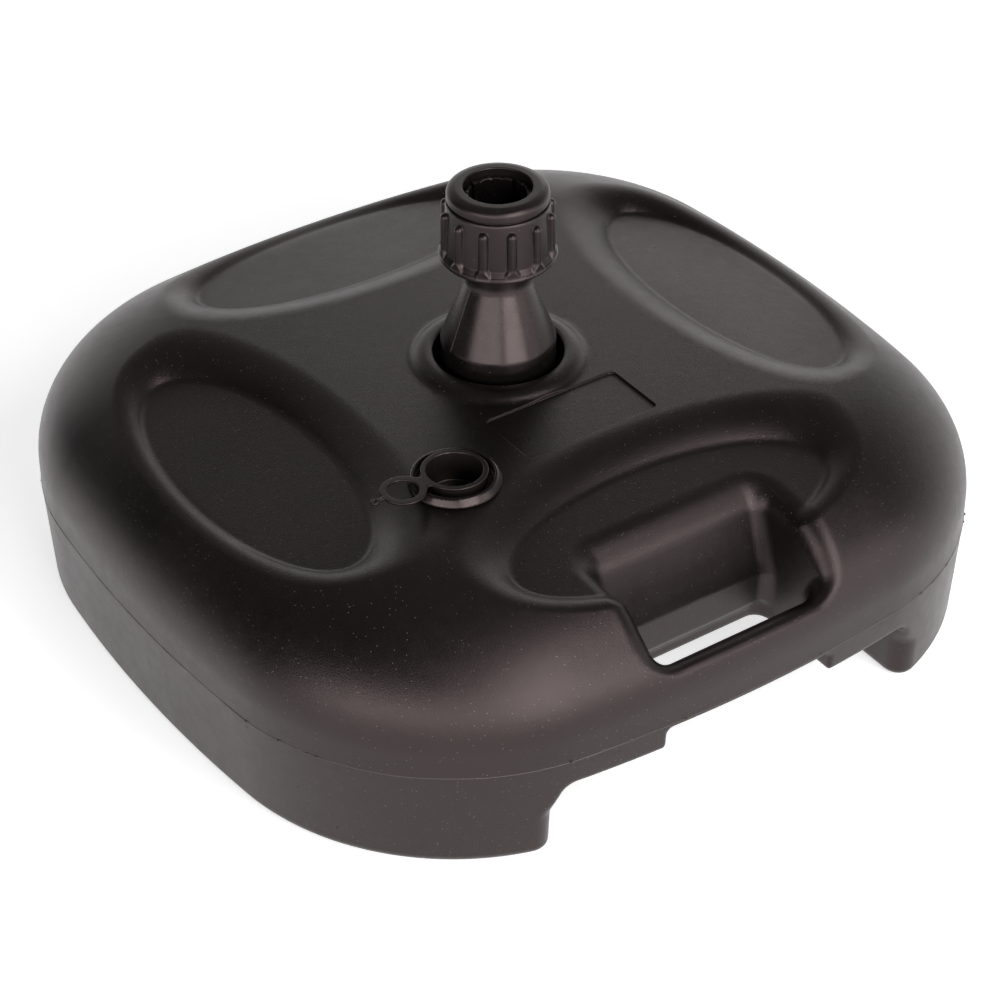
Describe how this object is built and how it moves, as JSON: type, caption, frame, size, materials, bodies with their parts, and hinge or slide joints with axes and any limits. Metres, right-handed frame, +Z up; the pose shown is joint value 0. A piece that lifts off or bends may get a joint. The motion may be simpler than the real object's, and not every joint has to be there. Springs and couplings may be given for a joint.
{
  "type": "parasol base",
  "caption": "Fillable square parasol base with rounded shoulders, carrying handle, stopper and a screw clamp for the pole.",
  "frame": {"origin": "middle of the ground face: the centre of the outline in plan, at the height of the feet", "axes": "+Z up along the pole, the carrying handle faces -Y, +X to the right seen from the handle side"},
  "size_m": [0.4998, 0.493, 0.2649],
  "materials": {
    "tank_plastic": "matte, fine moulded grain",
    "satin_plastic": "satin",
    "nut_plastic": "fine satin",
    "plug_plastic": "satin",
    "gasket_rubber": "matte"
  },
  "bodies": {
    "root": {"base_tank": "tank_plastic", "filler_collar": "satin_plastic", "collar_gasket": "gasket_rubber", "pole_socket": "satin_plastic", "socket_lock_ring": "satin_plastic"},
    "collet": {"clamping_collet": "satin_plastic"},
    "nut": {"clamp_nut": "nut_plastic"},
    "plug": {"filler_plug": "plug_plastic"}
  },
  "joints": [
    {"name": "nut_lift", "type": "slide", "parent": "root", "child": "collet", "axis": [0, 0, 1], "range_m": [0, 0.0081]},
    {"name": "nut_turn", "type": "hinge", "parent": "collet", "child": "nut", "pos_m": [0, 0, 0.24], "axis": [0, 0, 1], "range_deg": [0, 720]},
    {"name": "plug_pull", "type": "slide", "parent": "root", "child": "plug", "axis": [0, 0, 1], "range_m": [0, 0.04]}
  ],
  "couplings": [
    {"joint": "nut_lift", "follows": "nut_turn", "m_per_rad": 0.00063662}
  ]
}
